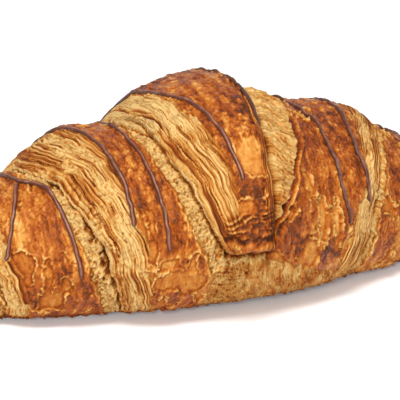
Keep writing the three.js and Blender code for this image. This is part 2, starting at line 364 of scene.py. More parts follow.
def ring_places():
    inset = TIP_DOME_LENGTH * (1 - np.cos(np.arange(1, TIP_RINGS + 1) * math.pi / 2 / (TIP_RINGS + 1)))
    body = np.linspace(LEFT_TIP_X + TIP_DOME_LENGTH, RIGHT_TIP_X - TIP_DOME_LENGTH, RING_COUNT)
    return np.sort(np.concatenate([LEFT_TIP_X + inset, body, RIGHT_TIP_X - inset]))


# ---------------------------------------------------------------- the dough's surface

def from_middle(x, angle, middle_x, middle_angle, half_width, half_length):
    """0 at an oval patch's middle, 1 on its outline and more outside it."""
    dx = (x - middle_x) / half_width
    turned = (angle - middle_angle + 180) % 360 - 180
    dy = np.radians(turned) * mean_radius(x) / half_length
    return np.sqrt(dx ** 2 + dy ** 2)


def window(value, low, high, soft):
    """1 between low and high, easing to 0 within soft beyond either."""
    return step_between(low - soft, low, value) * step_between(high + soft, high, value)


def hump(value, half_width):
    return np.exp(-(value / half_width) ** 2)


def stretched(across, plain, along):
    """Noise coordinates that run long along the turns: each is along mm there to 1 across."""
    return np.stack([across, plain[..., 1] / along, plain[..., 2] / along], -1)


def laminations(t, plain, pocket_relief, pocket_dark):
    """The cut walls' layers: their relief in mm, and how much darker than gold each is."""
    inward = t["inward"]
    bend = layers_of_noise(stretched(inward * 0.10, plain, 24), 2, 3.0)
    ripple = layers_of_noise(stretched(inward * 0.30, plain, 9), 2, 13.0)
    uneven = noise(stretched(inward * 0.55, plain, 60))
    layer = inward / 0.86 + 1.1 * bend + 0.11 * ripple + 0.8 * uneven
    share = inward / t["wall"] + 0.10 * bend + 0.10 * noise(stretched(inward * 0.3, plain, 14) + 70)
    reddish = hump(share - 0.25, 0.13)
    crumbly = hump(share - 0.54, 0.18)
    number = np.floor(layer)
    part = layer - number
    slope = np.minimum(part / 0.8, (1 - part) / 0.2)
    line = np.maximum(step_between(0.26, 0.0, part), step_between(0.14, 0.0, 1 - part))
    own_height = noise(stretched(number * 3.7, plain, 15))
    own_bake = noise(stretched(number * 5.3 + 40, plain, 24))
    line = line * step_between(-0.45, 0.15, noise(stretched(number * 2.9 + 80, plain, 11)))
    terrace = layer / 3.6 + 0.3 + 0.18 * ripple
    group = noise(stretched(np.floor(terrace) * 4.1 + 9, plain, 24))
    seam = step_between(0.13, 0.0, terrace - np.floor(terrace))
    seam = seam * step_between(-0.5, 0.1, noise(stretched(inward * 0.2 + 33, plain, 16)))
    fine = layers_of_noise(stretched(inward * 1.9, plain, 7), 2, 21.0, 0.6)
    torn = layers_of_noise(stretched(inward * 0.28, plain, 9), 3, 57.0) + 0.35 * crumbly - 0.25 * reddish
    torn = step_between(0.08, 0.34, torn) * np.where(t["tongue"], 0.2, 0.95)
    relief = 0.22 * (slope - 0.6) + 0.25 * own_height + 0.55 * group + 0.12 * fine - 0.6 * seam
    relief = mix(relief, -0.30 + 0.8 * pocket_relief, torn)
    # Painted light and shade on the layers: each layer is baked lighter where it stands high and darker at
    # its foot.
    dark = 0.28 * step_between(0.05, 0.30, own_bake) + 0.16 * group + 0.42 * line - 0.14 * (slope - 0.5)
    dark = dark + 0.22 * reddish + 0.18 * step_between(0.70, 0.95, share) + 0.30 * seam
    dark = mix(dark + 0.16 * fine, -0.12 + pocket_dark, torn)
    return relief, dark


def crumb(x, angle, t, plain):
    """The open, fibrous inside of the dough: its relief, its darkness and its fibres' run."""
    along = np.radians(angle) * mean_radius(x)
    lean = np.where(angle > 98, 0.95, 0.42)
    upright = np.sqrt(1 - lean ** 2)
    bend = 1.2 * layers_of_noise(plain * 0.12, 2, 37.0)
    crosswise = upright * along - lean * x + bend
    lengthwise = (upright * x + lean * along) * np.where(t["left"], 0.5, 0.16)
    run = np.stack([crosswise, lengthwise, 0 * x + 5], -1)
    fibres = layers_of_noise(run * [0.8, 1, 1], 2, 30.0, 0.6)
    coarse = layers_of_noise(plain * 0.38, 2, 31.0)
    middle = layers_of_noise(plain * 1.0, 3, 33.0, 0.65)
    fibrous = np.where(t["left"], 0.25, 1.0)
    pores = step_between(0.2, 0.6, layers_of_noise(plain * 0.8, 2, 55.0))
    pores = pores * (1 - 0.8 * fibrous)
    relief = 0.45 * coarse + mix(0.55, 0.16, fibrous) * middle + 0.60 * fibrous * fibres - 0.40 * pores
    # The pores are sunk into the relief and baked darker: painted shade in them.
    dark = 0.12 * coarse + mix(0.20, 0.06, fibrous) * middle + 0.26 * fibrous * fibres + 0.12 * pores
    return relief, dark, run


def skin(x, angle, plain):
    """The glazed skin: its relief in mm, and how much darker than its middle tone it is."""
    swell = layers_of_noise(plain * 0.10, 2, 61.0)
    blister = np.maximum(layers_of_noise(plain * 0.50, 3, 63.0, 0.6), -0.1)
    crinkle_places = np.stack([x * 0.62, plain[..., 1] * 0.34, plain[..., 2] * 0.34], -1)
    crinkle_field = layers_of_noise(crinkle_places, 3, 65.0, 0.6)
    crinkled = step_between(-0.35, 0.35, layers_of_noise(plain * 0.12, 2, 66.0))
    crinkle = step_between(0.30, 0.0, np.abs(crinkle_field)) * crinkled
    crease = step_between(0.10, 0.0, np.abs(layers_of_noise(stretched(x * 0.35, plain, 5), 2, 67.0)))
    relief = 0.50 * swell + 0.42 * blister - 0.15 * crinkle - 0.20 * crease
    broad = layers_of_noise(plain * 0.07, 2, 81.0)
    mottle = layers_of_noise(plain * 0.36, 4, 83.0, 0.72)
    streaks = layers_of_noise(stretched(x * 0.5, plain, 9), 3, 85.0, 0.6)
    # Creases and crinkles, sunk into the relief, are baked darker: painted shade in them.
    dark = 0.14 * broad + 0.13 * mottle + 0.25 * streaks + 0.10 * crease + 0.05 * (crinkle - 0.2)
    for *place, change in TONES:
        dark = dark + change * hump(from_middle(x, angle, *place), 1.0) * (1 + 1.2 * mottle)
    return relief, dark


def peeled(x, angle, plain):
    """How deep inside a flaked patch each place is, in mm, and how dark its floor is baked."""
    flank = window(np.abs(angle), 84, 150, 14)
    inside = 4.2 * layers_of_noise(stretched(x * 0.15, plain, 11), 2, 41.0, 0.5) - 3.2 + 2.0 * flank
    floor_bake = 0 * x + SCATTERED_PEEL_BAKE
    for *place, bake in PEELS:
        depth = (1 - from_middle(x, angle, *place)) * min(place[2:])
        floor_bake = np.where(depth > inside, bake, floor_bake)
        inside = np.maximum(inside, depth)
    ragged = 0.55 * layers_of_noise(plain * 0.5, 3, 71.0, 0.65)
    return inside + ragged, floor_bake


def locally_raised(detail):
    """How far each place stands above the average of its close surroundings, in mm."""
    body_length = RIGHT_TIP_X - LEFT_TIP_X - 2 * TIP_DOME_LENGTH
    reach_x = max(1, round(RELIEF_SHADE_REACH_X * RING_COUNT / body_length))
    reach_angle = max(1, round(RELIEF_SHADE_REACH_ANGLE * RING_POINTS / 360))
    average = 0 * detail
    shifts = [(i, j) for i in (-reach_x, 0, reach_x) for j in (-reach_angle, 0, reach_angle)]
    for shift_x, shift_angle in shifts:
        average += np.roll(np.roll(detail, shift_x, 0), shift_angle, 1) / len(shifts)
    return detail - average


def tucked_crumb(x, angle, plain):
    """Where the turn under the tongue shows its crumb, 0 to 1."""
    border = 102 + 0.55 * np.abs(x - 3) + 2.2 * layers_of_noise(plain * 0.3, 3, 95.0, 0.6)
    return step_between(-1.2, 1.2, angle - border) * window(x, -5, 40, 3) * step_between(162, 142, angle)


def covers(x, angle, t, plain, ragged):
    """How far each place is cut wall, pale strip, tucked crumb or glazed face, 0 to 1."""
    wall = step_between(0.6, -0.6, t["inward"] - t["wall"] + 0.8 * ragged)
    past_pale = t["outward"] - t["pale"] + np.where(t["first_right"], 0.05, 0.35) * ragged
    pale = np.where(t["tongue"], 0, step_between(0.2, -0.3, past_pale)) * (1 - wall)
    tucked = tucked_crumb(x, angle, plain) * ~t["tongue"]
    wall, pale = wall * (1 - tucked), pale * (1 - tucked)
    face = np.clip(1 - wall - pale - tucked, 0, 1)
    return {"wall": wall, "pale": pale, "tucked": tucked, "face": face, "past_pale": past_pale}


def string_edge(angle, t, past_pale):
    """The cord-like edge of the first right turn: where it runs, its groove and its ridge. The groove is
    baked dark, partly the edge's own colour and partly painted shade; the ridge is baked lighter, a painted
    highlight.
    """
    on_string = t["first_right"] * window(angle, 24, 93, 5)
    groove = on_string * hump(past_pale - 0.15, 0.32)
    ridge = on_string * hump(past_pale - 1.0, 0.5)
    return on_string, groove, ridge


def glazed_face(x, angle, t, plain, ragged, past_pale):
    """The glazed faces' relief in mm, bake and skin darkness, and their flakes and rims, 0 to 1."""
    relief, skin_dark = skin(x, angle, plain)

    # Flaked patches, sunk below the skin, with bright ragged rims, partly the torn skin's own pale edge and
    # partly a painted highlight, and a line of painted shade just inside each rim.
    inside, floor_bake = peeled(x, angle, plain)
    peel = step_between(-0.05, 0.15, inside)
    rim_breaks = step_between(-0.3, 0.25, layers_of_noise(plain * 0.28, 2, 73.0))
    rim = hump(inside + 0.2, 0.24) * rim_breaks
    relief = mix(relief, 0.6 * relief - 0.5, peel) + 0.42 * rim
    peel_bake = floor_bake + 0.35 * skin_dark + 0.14 * hump(inside - 0.35, 0.25)
    bake = mix(mix(0.60 + skin_dark, peel_bake, peel), 0.13, 0.8 * rim)

    # The skin's cut border beside the pale strip stands up as a thin lip.
    on_string, groove, _ = string_edge(angle, t, past_pale)
    lip = np.where(t["tongue"], 0, hump(past_pale - 0.45, 0.5)) * (0.8 + 0.4 * ragged)
    lip = lip * (1 - on_string)
    return relief + 0.5 * lip, bake - 0.14 * lip * (1 - groove), skin_dark, peel, rim


def tongue_end(x, angle, on_tongue, plain, ragged):
    """Wrinkles and a rolled lip across the tongue's end, each 0 to 1 but the folds."""
    curl = 1.6 * noise(np.stack([x * 0.33, 0 * x, 0 * x + 7], -1)) - 0.8
    curl = curl - 2.6 * step_between(1, -4, x)
    past_lip = angle - 97 - curl
    across = on_tongue * window(x, -4.5, 9, 1)
    rolled = across * hump(past_lip, 2.2)
    above_roll = across * hump(past_lip + 3.5, 0.9)
    wrinkled = on_tongue * window(x, -4, 9, 1.2) * window(angle, 82, 100, 5) * (1 - 0.7 * rolled)
    folds = np.sin(angle * 1.9 + 0.3 * x + 6.0 * layers_of_noise(plain * 0.16, 3, 91.0, 0.6))
    folds = step_between(-0.6, 1.0, folds) * (0.75 + 0.6 * ragged)
    below = window(x, -3.5, 8.5, 1) * hump(past_lip - 4.6, 1.6)
    return {
        "rolled": rolled, "above_roll": above_roll, "below": below,
        "wrinkled": wrinkled, "folds": folds,
    }


def pale_leaf(x, angle, ragged):
    """A pale leaf of dough lying over the wall by the crest, and its edge, 0 to 1."""
    run = (angle + 13) / 34
    width = 1.9 * np.sqrt(np.clip(1 - (2 * run - 1) ** 2, 0, 1)) + 1e-6
    across = x + 18.3 - 5.6 * run
    leaf = step_between(1.0, 0.75, np.abs(across + 0.2 * ragged) / width)
    edge = hump(np.abs(across) / width - 1.12, 0.22) * (width > 0.5)
    return leaf, edge


def crevices(t, ragged):
    """The gap where each turn meets the next, 0 to 1, and how deep it is in mm; the bake darkens it with
    painted shade.
    """
    depth = np.where(t["first_right"], 2.7, 0.7 + 0.5 * ragged)
    gap = np.where(t["first_right"], hump(t["outward"] - 0.6, 1.25), hump(t["outward"], 0.65))
    return gap * ~t["tongue"] * step_between(-9, 0, t["beside"]), depth


def hollow_depths(x, angle, ragged):
    """How deep the open hollows in the crumb are, in mm."""
    hollow = 0 * x
    for *place, depth in HOLLOWS:
        reach = from_middle(x, angle, *place) + 0.35 * ragged
        hollow = np.maximum(hollow, depth * step_between(1.15, 0.55, reach))
    return hollow


def swelling_heights(x, angle):
    """How far the roll swells outwards at each place, in mm."""
    swelling = 0 * x
    for *place, height in SWELLINGS:
        swelling = swelling + height * hump(from_middle(x, angle, *place), 1.0)
    return swelling


def surface(x, angle):
    """The finished dough: places, and the values that colour it."""
    t = turns(x, angle)
    left, on_tongue, first_right = t["left"], t["tongue"], t["first_right"]
    plain = section_place(x, angle, 0 * x)
    stepped = section_place(x, angle, turn_relief(angle, t))
    normals = outward_normals(plain)
    ragged = layers_of_noise(plain * 0.5, 3, 5.0, 0.6)

    cover = covers(x, angle, t, plain, ragged)
    wall, pale, tucked, face = (cover[name] for name in ("wall", "pale", "tucked", "face"))
    past_pale = cover["past_pale"]
    crumb_relief, crumb_dark, fibre_run = crumb(x, angle, t, plain)
    wall_relief, wall_dark = laminations(t, plain, crumb_relief, crumb_dark)
    face_relief, face_bake, skin_dark, peel, rim = glazed_face(x, angle, t, plain, ragged, past_pale)
    _, groove, ridge = string_edge(angle, t, past_pale)
    # A gap beside the cord's lower end, sunk into the relief and baked darker as painted shade.
    gap = first_right * hump(past_pale - 1.9, 0.7) * window(angle, 81, 92, 3)
    end = tongue_end(x, angle, on_tongue, plain, ragged)
    leaf, leaf_edge = pale_leaf(x, angle, ragged)
    crevice, crevice_depth = crevices(t, ragged)
    hollow = hollow_depths(x, angle, ragged) * np.clip(pale + tucked + 0.4 * wall, 0, 1)

    # The relief, in mm outwards from the stepped turns.
    detail = wall * wall_relief + pale * crumb_relief + face * face_relief + tucked * (0.8 * crumb_relief)
    detail = mix(detail, 0.25 * detail + 0.9, leaf) - 0.3 * leaf_edge
    detail = mix(detail, 0.6 * detail, end["rolled"])
    detail = detail + end["wrinkled"] * 0.5 * (end["folds"] - 0.4)
    detail = detail + 1.1 * end["rolled"] - 0.7 * end["above_roll"] - 1.6 * end["below"]
    detail = detail - crevice * crevice_depth - hollow - 1.1 * gap - 0.7 * groove + 0.7 * ridge
    low = step_between(5.5, 1.5, stepped[..., 2]) * (np.abs(angle) > 90)
    detail = detail + low * 0.45 * layers_of_noise(plain * 0.45, 3, 97.0, 0.6)
    under = step_between(140, 165, np.abs(angle))
    detail = detail * mix(1, 0.3, under)
    places = stepped + normals * (detail + swelling_heights(x, angle))[..., None]
    places[..., 2] = np.maximum(places[..., 2], BASE_TRIM)
    height = places[..., 2]

    # How dark each place is baked, from 0, pale, to 1, nearly burnt.
    low_left = np.where(left, step_between(40, 95, angle), 0)
    bake_wall = 0.165 + wall_dark - 0.11 * (~left & ~on_tongue) * window(angle, 62, 120, 15)
    bake_wall = bake_wall - 0.36 * (on_tongue & left) * window(angle, -30, 22, 12)
    bake_wall = bake_wall + 0.26 * (on_tongue & ~left) - 0.09 * low_left * (t["turn"] == 1)
    bake_pale = np.where(left, 0.045, 0.17) + crumb_dark + 0.06 * low_left
    bake = wall * bake_wall + pale * bake_pale + face * face_bake + tucked * (0.27 + 1.7 * crumb_dark)
    bake = bake + end["wrinkled"] * (0.36 - 0.34 * end["folds"])
    # Painted shade: the groove above the rolled lip and the place under the tongue's end are baked darker.
    bake = bake + 0.25 * end["above_roll"] + 0.45 * end["below"]
    bake = mix(bake, 0.66 + 0.25 * ragged, 0.7 * end["rolled"])
    # The leaf's outline is sunk a little and baked darker: painted shade along its edge.
    bake = mix(bake, 0.05, leaf) + 0.25 * leaf_edge
    # Painted shade: the crevices between turns, the open hollows and the gap beside the cord's lower end
    # are baked darker. Painted highlight: the cord's ridge is baked lighter.
    bake = bake + crevice * np.where(first_right, 0.65, 0.22) + 0.06 * hollow + 0.3 * gap - 0.10 * ridge
    # Painted shade and light from the relief: places sunk below their surroundings are baked darker, places
    # raised above them lighter.
    bake = bake - mix(0.9, 0.5, face) * np.clip(locally_raised(detail), -0.4, 0.3)
    # The cord's groove baked nearly black: partly the skin edge's own dark colour, partly painted shade in
    # the groove.
    bake = mix(bake, 0.92, groove)
    # A dark band just above the base: partly the browning the bottom takes on the tray, partly painted
    # contact shade.
    base_burn_and_shade = step_between(4.2, 2.0, height) * step_between(1.0, 1.3, height)
    bake = mix(bake, 0.88, 0.8 * base_burn_and_shade)
    bottom = step_between(2.2, 1.1, height)
    bake = mix(bake, 0.64 + 0.5 * (skin_dark - skin_dark.mean()), 0.8 * bottom)

    gloss = face * (1 - 0.75 * peel) * (1 - rim) * mix(0.3, 1, step_between(3, 17, height))
    across = np.where(wall > 0.02, t["inward"], 30 + t["outward"] * 0.8)
    return {
        "places": places, "bake": np.clip(bake, 0, 1), "wall": wall, "gloss": gloss,
        "pale": np.clip(pale + tucked + 0.6 * leaf, 0, 1),
        "flow": np.where((pale + tucked > 0.5)[..., None], fibre_run, stretched(across, plain, 12)),
    }


def grid_faces(rings, points):
    """Quads of a closed tube of rings, as an array of corner numbers."""
    ring = np.arange(rings - 1)[:, None] * points
    index = np.arange(points)[None, :]
    following = (index + 1) % points
    quads = np.stack([ring + index, ring + following, ring + points + following, ring + points + index], -1)
    return quads.reshape(-1, 4)


def make_mesh(name, vertices, quads, triangles, corner_uv):
    """A mesh from arrays; corner_uv lists the map's place for each corner, quads first."""
    mesh = bpy.data.meshes.new(name)
    mesh.vertices.add(len(vertices))
    mesh.vertices.foreach_set("co", vertices.astype(np.float32).ravel())
    corners = np.concatenate([quads.ravel(), triangles.ravel()])
    starts = np.concatenate([
        np.arange(len(quads)) * 4,
        len(quads) * 4 + np.arange(len(triangles)) * 3,
    ])
    mesh.loops.add(len(corners))
    mesh.loops.foreach_set("vertex_index", corners.astype(np.int32))
    mesh.polygons.add(len(starts))
    mesh.polygons.foreach_set("loop_start", starts.astype(np.int32))
    mesh.polygons.foreach_set("use_smooth", np.ones(len(starts), bool))
    layer = mesh.uv_layers.new(name="OFBake")
    layer.data.foreach_set("uv", corner_uv.astype(np.float32).ravel())
    mesh.update(calc_edges=True)
    mesh.validate()
    return mesh


def add_values(mesh, name, values):
    if values.ndim == 1:
        attribute = mesh.attributes.new(name, "FLOAT", "POINT")
        attribute.data.foreach_set("value", values.astype(np.float32))
    else:
        attribute = mesh.attributes.new(name, "FLOAT_VECTOR", "POINT")
        attribute.data.foreach_set("vector", values.astype(np.float32).ravel())


def tube_map(rings, points):
    """Map places for grid_faces' corners: u along the rings, v around them."""
    ring = np.arange(rings - 1)[:, None] + np.zeros((1, points))
    index = np.arange(points)[None, :] + np.zeros((rings - 1, 1))
    u = np.stack([ring, ring, ring + 1, ring + 1], -1) / (rings + 1) + 1 / (rings + 1)
    v = np.stack([index, index + 1, index + 1, index], -1) / points
    return np.stack([u, v], -1).reshape(-1, 2)


class Dough:
    """The dough's grid, its object, and a way to find places on it."""

    def __init__(self):
        self.ring_x = ring_places()
        self.angles = -180 + 360 * np.arange(RING_POINTS) / RING_POINTS
        x, angle = np.meshgrid(self.ring_x, self.angles, indexing="ij")
        self.values = surface(x, angle)
        self.shift = self.row_frame_shift()
        self.places = self.values["places"] + self.shift

    def row_frame_shift(self):
        """The move, in mm, from the dough's own frame to the row's, from the CAD dough's box."""
        low, high = (np.array(corner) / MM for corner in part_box("dough"))
        own = self.values["places"]
        middle_y = (own[..., 1].min() + own[..., 1].max()) / 2
        return np.array([low[0] - LEFT_TIP_X, (low[1] + high[1]) / 2 - middle_y, low[2] - BASE_TRIM])

    def pole(self, tip_x):
        place = section_place(np.array([tip_x]), np.array([0.0]), np.array([0.0]))[0]
        return place + self.shift

    def make(self):
        rings, points = len(self.ring_x), RING_POINTS
        quads = grid_faces(rings, points)[:, ::-1]
        index = np.arange(points)
        following = (index + 1) % points
        last = (rings - 1) * points
        first_pole = rings * points
        left_cap = np.stack([following, index, first_pole + 0 * index], -1)
        right_cap = np.stack([last + index, last + following, first_pole + 1 + 0 * index], -1)
        triangles = np.concatenate([left_cap, right_cap])[:, ::-1]
        v, v_next = index / points, (index + 1) / points
        edge_u = 1 / (rings + 1)
        left_map = np.stack([np.stack([edge_u + 0 * v, v_next], -1), np.stack([edge_u + 0 * v, v], -1),
                             np.stack([0 * v, v], -1)], 1)
        right_map = np.stack([np.stack([1 - edge_u + 0 * v, v], -1),
                              np.stack([1 - edge_u + 0 * v, v_next], -1), np.stack([1 + 0 * v, v], -1)], 1)
        cap_map = np.concatenate([left_map, right_map])[:, ::-1].reshape(-1, 2)
        quad_map = tube_map(rings, points).reshape(-1, 4, 2)[:, ::-1].reshape(-1, 2)
        poles = [self.pole(LEFT_TIP_X), self.pole(RIGHT_TIP_X)]
        vertices = np.concatenate([self.places.reshape(-1, 3), poles])
        corner_map = np.concatenate([quad_map, cap_map])
        mesh = make_mesh("croissant_dough", vertices * MM, quads, triangles, corner_map)
        for name in ("bake", "wall", "pale", "gloss", "flow"):
            values = self.values[name]
            flat = values.reshape(-1, *values.shape[2:])
            ends = [values[0].mean(0), values[-1].mean(0)]
            add_values(mesh, name, np.concatenate([flat, ends]))
        piece = bpy.data.objects.new("croissant_dough", mesh)
        bpy.context.scene.collection.objects.link(piece)
        return piece

    def at(self, x, angle, grid):
        """Values of a grid at places on the surface, worked out between its points."""
        along = np.interp(x, self.ring_x, np.arange(len(self.ring_x)))
        around = (angle + 180) / 360 * RING_POINTS
        i = np.clip(np.floor(along).astype(int), 0, len(self.ring_x) - 2)
        j = np.floor(around).astype(int)
        a, b = (along - i)[..., None], (around - j)[..., None]
        j0, j1 = j % RING_POINTS, (j + 1) % RING_POINTS
        near = mix(grid[i, j0], grid[i, j1], b)
        far = mix(grid[i + 1, j0], grid[i + 1, j1], b)
        return mix(near, far, a)


# ---------------------------------------------------------------- drizzle

# Lengths in mm.
STRAND_SIDES = 18
STRAND_STEP = 0.3
STRAND_HALF_WIDTH = 0.63
STRAND_HALF_HEIGHT = 0.58
STRAND_LIFT = 0.12
STRAND_WANDER = 0.26
STRAND_END_LENGTH = 1.6
# How far the painted highlight along a strand's top reaches around it, in radians.
STRAND_HIGHLIGHT_REACH = 0.36


def smoothed(values, reach):
    """A moving average along axis 0 that holds the ends."""
    padded = np.concatenate([np.repeat(values[:1], reach, 0), values, np.repeat(values[-1:], reach, 0)])
    kernel = np.hanning(2 * reach + 3)[1:-1]
    kernel /= kernel.sum()
    return np.stack([np.convolve(padded[:, c], kernel, "valid") for c in range(values.shape[1])], -1)


def make_strand(dough, name, route, seed):
    knots = np.arange(len(route))
    x_of = smooth_curve([(k, p[0]) for k, p in zip(knots, route)])
    angle_of = smooth_curve([(k, p[1]) for k, p in zip(knots, route)])
    rough_steps = np.linspace(0, len(route) - 1, 400)
    rough = dough.at(x_of(rough_steps), angle_of(rough_steps), dough.places)
    length = np.linalg.norm(np.diff(smoothed(rough, 8), axis=0), axis=1).sum()
    count = int(length / STRAND_STEP)
    steps = np.linspace(0, len(route) - 1, count)
    x, angle = x_of(steps), angle_of(steps)
    wobble = layers_of_noise(np.stack([steps * 3, steps * 0 + seed, steps * 0], -1), 2, 5.0)
    x = x + STRAND_WANDER * wobble
    normals = dough.at(x, angle, outward_normals(smooth_grid(dough.places)))
    normals = smoothed(normals, 7)
    normals /= np.linalg.norm(normals, axis=1, keepdims=True)
    ground = dough.at(x, angle, dough.places)
    raised = np.maximum((ground * normals).sum(1), (smoothed(ground, 6) * normals).sum(1))
    centre = ground + normals * (raised - (ground * normals).sum(1))[:, None]
    centre = smoothed(centre, 3)
    tangent = np.gradient(centre, axis=0)
    tangent /= np.linalg.norm(tangent, axis=1, keepdims=True)
    side = np.cross(tangent, normals)
    side /= np.linalg.norm(side, axis=1, keepdims=True)
    up = np.cross(side, tangent)
    t = np.arange(count) * STRAND_STEP
    plump = 1 + 0.22 * layers_of_noise(np.stack([t * 0.16, t * 0 + seed, t * 0], -1), 2, 9.0)
    plump = plump + 0.10 * noise(np.stack([t * 0.9, t * 0 + seed, t * 0 + 4], -1))
    from_end = np.minimum(t, t[-1] - t)
    taper = np.sqrt(np.clip(1 - (1 - np.clip(from_end / STRAND_END_LENGTH, 0, 1)) ** 2, 0.0004, 1))
    turn = 2 * math.pi * np.arange(STRAND_SIDES) / STRAND_SIDES
    across = STRAND_HALF_WIDTH * (plump * taper)[:, None] * np.cos(turn)
    lift = STRAND_HALF_HEIGHT * (plump * taper)[:, None] * np.sin(turn)
    lift = lift + STRAND_LIFT * taper[:, None]
    # A painted highlight along each strand's top, wandering a little from side to side.
    shine = noise(np.stack([t * 0.25, t * 0 + seed, t * 0 + 8], -1))
    from_top = turn[None, :] - math.pi / 2 - 0.5 * shine[:, None]
    crown = hump(from_top, STRAND_HIGHLIGHT_REACH)
    places = centre[:, None] + side[:, None] * across[..., None] + up[:, None] * lift[..., None]
    quads = grid_faces(count, STRAND_SIDES)
    caps = []
    for centre_number, ring, flip in ((0, 0, False), (1, count - 1, True)):
        index = np.arange(STRAND_SIDES)
        following = (index + 1) % STRAND_SIDES
        hub = count * STRAND_SIDES + centre_number + 0 * index
        base = ring * STRAND_SIDES
        cap = np.stack([hub, base + following, base + index], -1)
        caps.append(cap[:, ::-1] if flip else cap)
    triangles = np.concatenate(caps)
    vertices = np.concatenate([places.reshape(-1, 3), centre[:1], centre[-1:]])
    quad_map = tube_map(count, STRAND_SIDES)
    cap_map = np.tile(np.array([[0.001, 0.5], [0.001, 0.6], [0.002, 0.5]]), (len(triangles), 1))
    mesh = make_mesh(name, vertices * MM, quads, triangles, np.concatenate([quad_map, cap_map]))
    add_values(mesh, "crown", np.concatenate([crown.ravel(), [0.2, 0.2]]))
    fix_facing(mesh)
    piece = bpy.data.objects.new(name, mesh)
    bpy.context.scene.collection.objects.link(piece)
    return piece


def smooth_grid(places):
    """The grid with its small relief averaged away."""
    soft = places
    for _ in range(3):
        soft = (soft + np.roll(soft, 4, 1) + np.roll(soft, -4, 1)) / 3
        soft = (soft + np.concatenate([soft[:4], soft[:-4]]) + np.concatenate([soft[4:], soft[-4:]])) / 3
    return soft


def fix_facing(mesh):
    """Turns a closed mesh's faces outwards if its signed volume is negative."""
    mesh.calc_loop_triangles()
    corners = np.empty(len(mesh.loop_triangles) * 3, np.int32)
    mesh.loop_triangles.foreach_get("vertices", corners)
    places = np.empty(len(mesh.vertices) * 3, np.float32)
    mesh.vertices.foreach_get("co", places)
    a, b, c = (places.reshape(-1, 3)[corners.reshape(-1, 3)[:, k]] for k in range(3))
    if (np.cross(a, b) * c).sum() < 0:
        mesh.flip_normals()


# ---------------------------------------------------------------- materials

def new_material(name):
    material = bpy.data.materials.new(name)
    material.use_nodes = True
    nodes = material.node_tree.nodes
    nodes.clear()
    output = nodes.new("ShaderNodeOutputMaterial")
    shader = nodes.new("ShaderNodeBsdfPrincipled")
    material.node_tree.links.new(shader.outputs["BSDF"], output.inputs["Surface"])
    return material, shader


class Graph:
    """Short ways to add nodes to one material."""

    def __init__(self, material):
        self.nodes = material.node_tree.nodes
        self.links = material.node_tree.links

    def link(self, source, target):
        self.links.new(source, target)

    def attribute(self, name, output="Fac"):
        node = self.nodes.new("ShaderNodeAttribute")
        node.attribute_name = name
        return node.outputs[output]

    def position(self):
        return self.nodes.new("ShaderNodeTexCoord").outputs["Object"]

    def noise(self, vector, scale, detail=4.0, roughness=0.55):
        node = self.nodes.new("ShaderNodeTexNoise")
        node.inputs["Scale"].default_value = scale
        node.inputs["Detail"].default_value = detail
        node.inputs["Roughness"].default_value = roughness
        self.link(vector, node.inputs["Vector"])
        return node.outputs["Fac"]

    def math(self, operation, a, b=None, clamp=False):
        node = self.nodes.new("ShaderNodeMath")
        node.operation = operation
        node.use_clamp = clamp
        for socket, value in zip(node.inputs, (a, b)):
            if value is None:
                continue
            if isinstance(value, (int, float)):
                socket.default_value = value
            else:
                self.link(value, socket)
        return node.outputs[0]

    def around(self, value, middle, amount):
        """value moved so that middle is 0, then scaled by amount."""
        return self.math("MULTIPLY", self.math("SUBTRACT", value, middle), amount)

    def ramp(self, value, stops):
        node = self.nodes.new("ShaderNodeValToRGB")
        elements = node.color_ramp.elements
        while len(elements) < len(stops):
            elements.new(0.5)
        for element, (position, colour) in zip(elements, stops):
            element.position = position
            element.color = (*colour, 1)
        self.link(value, node.inputs["Fac"])
        return node.outputs["Color"]

    def range(self, value, low, high, to_low, to_high):
        node = self.nodes.new("ShaderNodeMapRange")
        node.inputs["From Min"].default_value = low
        node.inputs["From Max"].default_value = high
        node.inputs["To Min"].default_value = to_low
        node.inputs["To Max"].default_value = to_high
        self.link(value, node.inputs["Value"])
        return node.outputs["Result"]

    def bump(self, height, strength, distance):
        node = self.nodes.new("ShaderNodeBump")
        node.inputs["Strength"].default_value = strength
        node.inputs["Distance"].default_value = distance
        self.link(height, node.inputs["Height"])
        return node.outputs["Normal"]


BAKE_COLOURS = [
    (0.00, (0.75, 0.49, 0.185)),
    (0.12, (0.64, 0.36, 0.112)),
    (0.30, (0.54, 0.234, 0.045)),
    (0.46, (0.405, 0.124, 0.015)),
    (0.62, (0.300, 0.064, 0.0055)),
    (0.78, (0.195, 0.035, 0.003)),
    (1.00, (0.070, 0.014, 0.003)),
]


